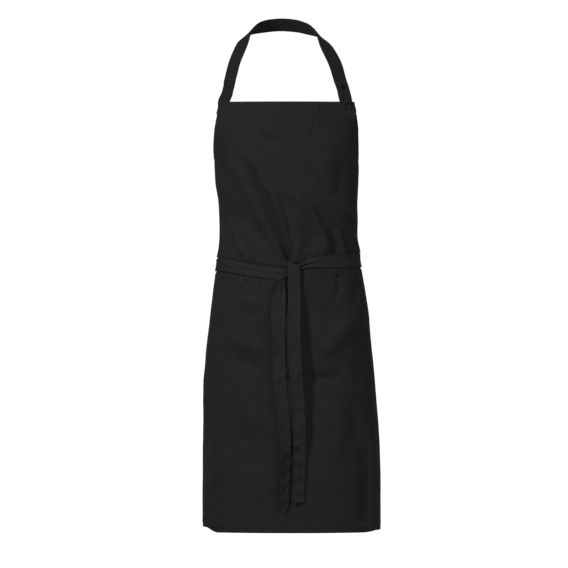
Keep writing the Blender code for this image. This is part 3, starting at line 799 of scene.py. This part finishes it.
def make_strap():
    left = behind_bib(SEWN_PLACES, (0.0265, 0.0140, 0.0015), SEWN_DEPTH, SEWN_FACING, True)
    left += [np.array(c + w) for c, w in LEFT_LEG]
    nape = [np.array(row) for row in NAPE]
    right = [np.array(c + w) for c, w in reversed(RIGHT_LEG)]
    end = behind_bib(SNAP_PLACES, (0.0015,), SNAP_DEPTH, SNAP_FACING, False)[0]
    rows = left + nape + right + [end]
    middle, way, at = smooth_path(rows, 0.0032)
    total = at[-1]

    def lift(s, long):
        soft = 0.0005 * noise(long * 40 + 9, s * 0.8, 31) + 0.00025 * noise(long * 150, s * 2.0, 32)
        crease = 0.0009 * bump(long - 0.055 + 0.012 * s, 0.004)
        crease -= 0.0007 * bump(long - 0.066 + 0.010 * s, 0.004)
        ends = smooth(long / 0.03) * smooth((total - long) / 0.03)
        return (soft + crease) * ends + 0.0004 * (1 - s * s)

    made, flat, n, _ = strip(
        "neck_strap_cloth", middle, way, STRAP_HALF, 17, STRAP_THICK, STRAP_CLOTH_PAINTED_SHADE, lift
    )
    edges = [(flat[:, col], n[:, col]) for col in (2, -3)]
    sew = stitches("neck_strap_stitching", both_faces(edges, STRAP_FACE), THREAD)
    for piece, name in ((made, "strap_cotton"), (sew, "thread")):
        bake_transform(piece)
    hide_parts("neck_strap", "strap_sewn_end")


def make_snap_end():
    drops = np.linspace(0.0010, 0.0362, 24)
    rows = behind_bib(SNAP_PLACES, drops, SNAP_DEPTH, SNAP_FACING, False)
    middle, way, at = smooth_path(rows, 0.0016)

    def lift(s, long):
        return 0.0004 * (1 - s * s) - 0.0006 * smooth((long - 0.024) / 0.012)

    made, flat, n, _ = strip(
        "strap_end_cloth", middle, way, STRAP_HALF, 17, STRAP_THICK, STRAP_CLOTH_PAINTED_SHADE, lift
    )
    edges = [(flat[:, 2], n[:, 2]), (flat[:, -3], n[:, -3]), (flat[-4], n[-4])]
    sew = stitches("strap_end_stitching", both_faces(edges, STRAP_FACE), THREAD)
    for piece, name in ((made, "strap_cotton"), (sew, "thread")):
        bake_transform(piece)
    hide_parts("strap_snap_end")


make_strap()
make_snap_end()


# ---------------------------------------------------------------- waist ties
TIE_HALF, TIE_THICK = 0.0150, 0.0011
TIE_CLEAR, TIE_OVER, TIE_PART = 0.0014, 0.0030, 0.020


def tie_path(side, end_x, step=0.0035):
    """A tie from its sewn end at one back edge, across the back, to the knot."""
    waist = float(np.interp(WAIST_Z, BODY.z, BODY.round))
    start = PANEL_HALF - 0.022
    back = waist - start - PANEL_HALF + 0.020
    finish = abs(float(BODY.arc_at(end_x, np.array(-0.545))))
    if np.sign(end_x) == side:
        finish = -finish
    long = waist - start - finish
    far = np.linspace(0, long, round(long / step) + 1)
    over = np.clip(far / back, 0, 1)
    arc = side * (start + far)
    turned = (arc / waist - np.round(arc / waist)) * waist
    lift = side * TIE_PART * np.sin(np.pi * over)
    depth = TIE_CLEAR + TIE_OVER * smooth(over)
    depth -= TIE_OVER * 0.55 * smooth((far - back) / 0.12)
    blend = smooth(over) if side < 0 else 1 - smooth(over)
    rear = -0.529 + 0.0105 * blend
    front = tie_line(turned)
    near = 1 - smooth((np.abs(turned) - 0.20) / 0.06)
    z = front * near + rear * (1 - near) + lift
    return far, turned, z, depth, waist


def make_tie(name, side, end_x, replaced, half_of, lift_of):
    far, arc, z, depth, waist = tie_path(side, end_x)
    half = half_of(arc)
    s = np.linspace(-1, 1, 15)
    zz = z[:, None] + half[:, None] * s
    share = np.interp(zz, BODY.z, BODY.round) / waist
    p, n = BODY.read(zz, arc[:, None] * share)
    front = 1 - smooth((np.abs(arc) - 0.20) / 0.05)
    d = folds(p[..., 0], p[..., 2], arc[:, None] * share) * front[:, None]
    # a tape doesn't follow each small pleat of the cloth under it
    kernel = np.hanning(15)[1:-1]
    kernel /= kernel.sum()
    d = np.stack([np.convolve(np.pad(c, 6, mode="edge"), kernel, "valid") for c in d.T], 1)
    d = d.mean(1, keepdims=True) + (d - d.mean(1, keepdims=True)) * 0.5
    mid = p + n * (depth[:, None] + TIE_THICK / 2 + 0.0009 + d)[..., None]
    mid += n * lift_of(s[None, :], arc[:, None])[..., None]
    if side > 0:
        # the lower corner at the knot is folded up behind
        mid[..., 2] += (0.0046 * smooth((arc + 0.016) / 0.018) * (arc < 0.05))[:, None]
    nn = normals_of(mid)
    if (nn * n).sum() < 0:
        nn = -nn
    full = TIE_THICK * (1 - 0.35 * np.abs(s) ** 12) / 2
    seam = 0.00016 * bump(np.abs(s) - 0.84, 0.06)
    t = (full - seam)[None, :, None]
    uv = np.stack(np.broadcast_arrays(half[:, None] * s, far[:, None]), -1)
    made = shell(name, mid + nn * t, mid - nn * t, uv, TIE_CLOTH_PAINTED_LIGHT, 60)
    face = TIE_THICK / 2 - 0.0002
    runs = [(mid[:, col] + nn[:, col] * face, nn[:, col]) for col in (1, -2)]
    sew = stitches(name + "_stitching", runs, THREAD)
    for piece, kind in ((made, "tie_cotton"), (sew, "thread")):
        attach(piece, "apron")
    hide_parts(replaced)


def left_half(arc):
    """The tie seen at the left runs at full width and is pinched just before the knot."""
    return TIE_HALF - 0.0012 - 0.0046 * smooth((arc + 0.016) / 0.018) * (arc < 0.05)


def left_lift(s, arc):
    near = smooth((arc + 0.035) / 0.030) * (arc < 0.05)
    line = s + 0.22 + 0.10 * np.sin(arc * 31)
    crease = -0.0013 * bump(line, 0.13) * smooth((arc + 0.19) / 0.03) * (arc < 0.05)
    crease = crease - 0.0024 * smooth((s - 0.10) / 0.90) * smooth((arc + 0.19) / 0.05) * (arc < 0.05)
    pleat = 0.0008 * np.sin(s * 5.2 + 0.8) * near
    return crease + pleat + 0.0003 * noise(arc * 70, s * 1.2, 41)


def right_half(arc):
    """The tie seen at the right is crushed narrow towards the knot."""
    return np.where(arc > -0.05, tie_half_front(np.maximum(arc, 0.0121)), TIE_HALF)


def right_lift(s, arc):
    t = smooth((0.105 - arc) / 0.080) * (arc > -0.05)
    pleat = 0.0022 * np.sin(s * 6.0 - 0.6) * t
    fold = 0.0012 * bump(s + 0.15 - (arc - 0.06) * 6, 0.16) * t
    return pleat + fold + 0.0003 * noise(arc * 70, s * 1.2, 42)


make_tie("tie_from_left_edge", -1, 0.022, "left_waist_tie", right_half, right_lift)
make_tie("tie_from_right_edge", 1, 0.000, "right_waist_tie", left_half, left_lift)


# ---------------------------------------------------------------- the knot and the hanging ends
TAIL_THICK, TAIL_FACE = 0.0012, 0.0004


def front_of(x, z):
    """How far forward the panel's face stands."""
    x, z = np.array(x), np.array(z)
    return float(cloth_at(z, BODY.arc_at(x, z))[0][..., 1])


def hang_rows(places):
    """Stations (z, x, distance off the panel, turn, half width) down a hanging end."""
    rows = []
    for z, x, off, turn, half in places:
        rows.append((x, front_of(x, z) - off, z, 1, turn, 0.0, half))
    return rows


def tail_mesh(name, rows, lift, u0):
    rows = np.array(rows, float)
    middle, way, at = smooth_path(rows[:, :6], 0.0028)
    keys = lengths(rows[:, :3])
    wide = curve_through(keys, rows[:, 6], at)
    return strip(name, middle, way, wide, 23, TAIL_THICK, TIE_CLOTH_PAINTED_LIGHT, lift, u0)


def finish_tail(name, made, flat, n, replaced):
    """The tail's stitches; the tail and its stitches are baked in place and the part it replaces is
    hidden.
    """
    edges = [(flat[:, 2], n[:, 2]), (flat[:, -3], n[:, -3]), (flat[-3], n[-3])]
    sew = stitches(name + "_stitching", both_faces(edges, TAIL_FACE), THREAD)
    for piece, kind in ((made, "tie_cotton"), (sew, "thread")):
        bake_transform(piece)
    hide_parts(replaced)


def make_right_tail():
    """Up behind the ties, over their top, down in front as the knot's band, then hanging."""
    base = front_of(0.012, -0.545)
    rows = [
        (0.0125, base - 0.0030, -0.5500, 1, 0, 0.02, 0.0118),
        (0.0122, base - 0.0034, -0.5370, 1, 0, 0.02, 0.0120),
        (0.0120, base - 0.0050, -0.5300, 1, 0, 0.05, 0.0126),
        (0.0122, base - 0.0082, -0.5285, 1, 0, 0.08, 0.0130),
        (0.0124, base - 0.0106, -0.5320, 1, -0.02, 0.06, 0.0132),
        (0.0128, base - 0.0114, -0.5400, 1, -0.02, 0.03, 0.0134),
        (0.0131, base - 0.0112, -0.5520, 1, 0.00, 0.02, 0.0134),
        (0.0136, base - 0.0098, -0.5750, 1, 0.02, 0.02, 0.0136),
    ]
    rows += hang_rows([
        (-0.620, 0.0137, 0.0072, 0.05, 0.0138), (-0.680, 0.0136, 0.0072, 0.06, 0.0140),
        (-0.740, 0.0154, 0.0072, 0.02, 0.0142), (-0.758, 0.0166, 0.0086, -0.06, 0.0142),
        (-0.776, 0.0182, 0.0070, 0.04, 0.0141), (-0.810, 0.0208, 0.0056, 0.12, 0.0140),
        (-0.860, 0.0245, 0.0056, 0.22, 0.0138), (-0.892, 0.0256, 0.0076, 0.10, 0.0136),
        (-0.912, 0.0258, 0.0058, 0.22, 0.0136), (-0.951, 0.0257, 0.0054, 0.30, 0.0136),
        (-0.990, 0.0246, 0.0054, 0.30, 0.0136), (-1.030, 0.0231, 0.0052, 0.28, 0.0135),
        (-1.050, 0.0224, 0.0052, 0.26, 0.0134),
    ])
    # its end is cut a little slanting
    rows[-1] = rows[-1][:5] + (0.20,) + rows[-1][6:]

    def lift(s, long):
        band_on = smooth((long - 0.02) / 0.02)
        out = 0.0007 * noise(long * 45, s * 1.0, 51) * band_on
        out += 0.0003 * noise(long * 130, s * 2.0, 52) * band_on
        # the sharp cross folds left by folding the end up small
        out += 0.0013 * bump(long - 0.280 + 0.004 * s, 0.0035)
        out += 0.0012 * bump(long - 0.420 + 0.005 * s, 0.0040)
        wave = np.sin((long - 0.006 * s) * 2 * math.pi / 0.030) * smooth((long - 0.30) / 0.05)
        out += 0.0011 * wave
        wave = np.sin((long + 0.009 * s) * 2 * math.pi / 0.037) * smooth((long - 0.10) / 0.05)
        out += 0.0005 * wave
        # a long soft pleat, a short sharp one, and a raised right edge below the band
        low = smooth((long - 0.030) / 0.02)
        out -= 0.0015 * bump(s + 0.15, 0.16) * low * (1 - smooth((long - 0.12) / 0.10))
        slant = s - 0.15 - (long - 0.045) * 16
        out += 0.0018 * bump(slant, 0.12) * bump(long - 0.052, 0.014)
        out += 0.0012 * bump(s - 0.80, 0.12) * low
        out += 0.0009 * bump(s + 0.90, 0.12) * low
        return out

    made, flat, n, long = tail_mesh("right_tail_cloth", rows, lift, 0.54)
    finish_tail("right_tail", made, flat, n, "right_tie_tail")


def make_left_tail():
    """Out from under the left tie in two pinched pleats, then opening out as it hangs."""
    rows = hang_rows([
        (-0.5440, -0.0030, 0.0022, 0.00, 0.0066), (-0.5530, -0.0090, 0.0026, 0.00, 0.0074),
        (-0.5620, -0.0150, 0.0034, 0.02, 0.0082), (-0.5700, -0.0176, 0.0056, 0.03, 0.0094),
        (-0.5850, -0.0180, 0.0070, 0.03, 0.0120), (-0.6020, -0.0194, 0.0070, 0.04, 0.0146),
        (-0.6280, -0.0208, 0.0070, 0.05, 0.0160), (-0.6720, -0.0207, 0.0068, 0.05, 0.0145),
        (-0.7300, -0.0196, 0.0066, 0.02, 0.0138), (-0.7600, -0.0188, 0.0070, 0.00, 0.0138),
        (-0.7750, -0.0180, 0.0084, -0.02, 0.0137), (-0.7920, -0.0166, 0.0064, 0.14, 0.0134),
        (-0.8500, -0.0112, 0.0056, 0.20, 0.0132), (-0.9050, -0.0058, 0.0060, 0.30, 0.0124),
        (-0.9240, -0.0050, 0.0080, 0.44, 0.0116), (-0.9400, -0.0054, 0.0088, 0.66, 0.0118),
        (-0.9800, -0.0064, 0.0088, 0.68, 0.0118), (-1.0420, -0.0082, 0.0086, 0.68, 0.0116),
        (-1.0640, -0.0090, 0.0086, 0.68, 0.0116),
    ])
    rows[-1] = rows[-1][:5] + (0.36,) + rows[-1][6:]
    for k, across in ((0, (0.75, 0, 0.66)), (1, (0.78, 0, 0.60)), (2, (0.93, 0.02, 0.34))):
        rows[k] = rows[k][:3] + across + rows[k][6:]

    def lift(s, long):
        under = smooth((long - 0.012) / 0.012)
        # pinched pleats that spread and die out
        top = under * (1 - smooth((long - 0.030) / 0.045))
        out = 0.0022 * np.sin(s * 6.2 + 0.9) * top
        bend = s - 0.10 - 0.28 * np.sin((long - 0.020) * 62)
        out -= 0.0028 * bump(bend, 0.13) * under * (1 - smooth((long - 0.050) / 0.030))
        out += 0.0014 * bump(s - 0.86, 0.12) * under
        out += 0.0010 * bump(s + 0.88, 0.10) * under
        out += (0.0007 * noise(long * 45, s * 1.0, 61) + 0.0003 * noise(long * 130, s * 2, 62)) * under
        out += 0.0013 * bump(long - 0.236 + 0.004 * s, 0.0035)
        out -= 0.0012 * bump(long - 0.392 - 0.003 * s, 0.0035)
        wave = np.sin((long - 0.010 * s) * 2 * math.pi / 0.026) * smooth((long - 0.395) / 0.02)
        out += 0.0011 * wave
        wave = np.sin((long + 0.008 * s) * 2 * math.pi / 0.033) * smooth((long - 0.06) / 0.05)
        out += 0.0005 * wave
        return out

    made, flat, n, long = tail_mesh("left_tail_cloth", rows, lift, 0.52)
    finish_tail("left_tail", made, flat, n, "left_tie_tail")


def make_knot_core():
    """The rest of the half knot: the tie's end that is drawn through behind the band."""
    base = front_of(0.0, -0.548)
    rows = [
        (0.0265, base - 0.0050, -0.5345, 0, 0.15, 1),
        (0.0180, base - 0.0068, -0.5375, 0.05, 0.10, 1),
        (0.0060, base - 0.0078, -0.5425, 0.15, 0.05, 1),
        (-0.0050, base - 0.0082, -0.5500, 0.35, 0.0, 1),
        (-0.0130, base - 0.0066, -0.5600, 0.75, 0.0, 0.7),
        (-0.0178, base - 0.0052, -0.5690, 1, 0.0, 0.35),
    ]
    middle, way, at = smooth_path(rows, 0.0016)
    wide = curve_through([0, 0.3, 0.6, 1.0], [0.0080, 0.0085, 0.0090, 0.0078], at / at[-1])

    def lift(s, long):
        return 0.0014 * np.sin(s * 6.0 + 0.5) + 0.0006 * noise(long * 200, s * 2, 71)

    made, _, _, long = strip(
        "knot_cloth", middle, way, wide, 15, TAIL_THICK, TIE_CLOTH_PAINTED_LIGHT, lift, 0.05
    )
    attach(made, "apron")
    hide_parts("tie_knot")


make_right_tail()
make_left_tail()
make_knot_core()


# ---------------------------------------------------------------- box stitches and press studs
def box_stitch(name, z_mid, arc_mid, wide, high, depth, replaced, inside):
    """A stitched square with its two diagonals, through the layers at a sewn end."""
    corners = [(-1, -1), (1, -1), (1, 1), (-1, 1), (-1, -1), (1, 1), (-1, 1), (1, -1)]
    places = []
    for (ax, az), (bx, bz) in zip(corners, corners[1:]):
        for t in np.linspace(0, 1, 12)[:-1]:
            places.append((ax + (bx - ax) * t, az + (bz - az) * t))
    places = np.array(places)
    z = z_mid + places[:, 1] * high / 2
    arc = arc_mid + places[:, 0] * wide / 2
    p, n = cloth_at(z, arc, depth)
    runs = [(p, -n if inside else n)]
    runs.append(cloth_at(z, arc, hem_relief(z, arc)[0] + 0.00015))
    sew = stitches(name, runs, THREAD, pitch=0.0030, long=0.0023)
    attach(sew, "apron")
    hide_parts(replaced)


TIE_SEWN_Z, TIE_SEWN_IN = -0.529, 0.0115
sewn_z = BIB_TOP_Z - 0.0140
sewn_arc = float(BODY.arc_at(-0.1408, sewn_z))
box_stitch(
    "strap_box_stitch", sewn_z, sewn_arc, 0.0230, 0.0180, -0.0040, "strap_bar_tack", True
)
for name, side in (("left_tie", -1), ("right_tie", 1)):
    box_stitch(
        name + "_box_stitch", TIE_SEWN_Z, side * (PANEL_HALF - TIE_SEWN_IN), 0.016, 0.022,
        0.0034, name + "_bar_tack", False
    )

for node in ("snap_cap", "snap_socket", "snap_stud_engaged", "snap_stud_engaged_back",
             "snap_stud_spare", "snap_stud_spare_back"):
    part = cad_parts[node]
    part.data.materials.clear()
    part.data.materials.append(CAP_LACQUER if node == "snap_cap" else LACQUER)

# ---------------------------------------------------------------- floor, light and camera
def stage_material():
    made, _, _, shader = new_material("pale_floor")
    shader.inputs["Base Color"].default_value = (0.93, 0.93, 0.93, 1)
    shader.inputs["Roughness"].default_value = 0.9
    shader.inputs["Specular IOR Level"].default_value = 0.1
    shader.inputs["Emission Color"].default_value = (1, 1, 1, 1)
    shader.inputs["Emission Strength"].default_value = 1.0
    return made


def make_floor(size=60.0, z=-1.42):
    corners = [(-size, -size, z), (size, -size, z), (size, size, z), (-size, size, z)]
    mesh = bpy.data.meshes.new("floor")
    mesh.from_pydata(corners, [], [(0, 1, 2, 3)])
    made = bpy.data.objects.new("floor", mesh)
    bpy.context.scene.collection.objects.link(made)
    mesh.materials.append(stage_material())
    made.visible_diffuse = False
    made.visible_glossy = False


def area_light(name, place, aim, wide, high, power):
    data = bpy.data.lights.new(name, "AREA")
    data.shape = "RECTANGLE"
    data.size, data.size_y = wide, high
    data.energy = power
    made = bpy.data.objects.new(name, data)
    made.location = place
    made.rotation_euler = (Vector(aim) - Vector(place)).to_track_quat("-Z", "Y").to_euler()
    bpy.context.scene.collection.objects.link(made)


make_floor()
AIM = (0.0, -0.12, -0.60)
area_light("key", (-2.35, -2.85, 1.6), AIM, 0.8, 1.0, 125)
area_light("fill", (2.1, -3.1, 0.0), AIM, 2.6, 2.4, 56)
area_light("back", (0.4, 3.4, 0.9), AIM, 1.6, 1.2, 40)

world = bpy.data.worlds.new("studio")
bpy.context.scene.world = world
world.use_nodes = True
nodes, links = world.node_tree.nodes, world.node_tree.links
back = nodes["Background"]
rays = nodes.new("ShaderNodeLightPath")
# the camera sees a nearly white room, the cloth gets only a little of its light
level = nodes.new("ShaderNodeMapRange")
level.inputs["To Min"].default_value = 0.11
level.inputs["To Max"].default_value = 1.05
links.new(rays.outputs["Is Camera Ray"], level.inputs["Value"])
links.new(level.outputs[0], back.inputs["Strength"])
back.inputs["Color"].default_value = (1, 1, 1, 1)
bpy.context.scene.view_settings.view_transform = "Standard"

# a long lens from far off, as wide at the apron as the photograph
FRAME_WIDE, DISTANCE, SENSOR = 1.2496, 16.0, 36.0
camera = bpy.data.cameras.new("camera")
camera.sensor_width = SENSOR
camera.lens = SENSOR * DISTANCE / FRAME_WIDE
eye = bpy.data.objects.new("camera", camera)
eye.location = (-0.0088, -0.12 - DISTANCE, -0.5707)
eye.rotation_euler = (math.radians(90), 0, 0)
bpy.context.scene.collection.objects.link(eye)
bpy.context.scene.camera = eye
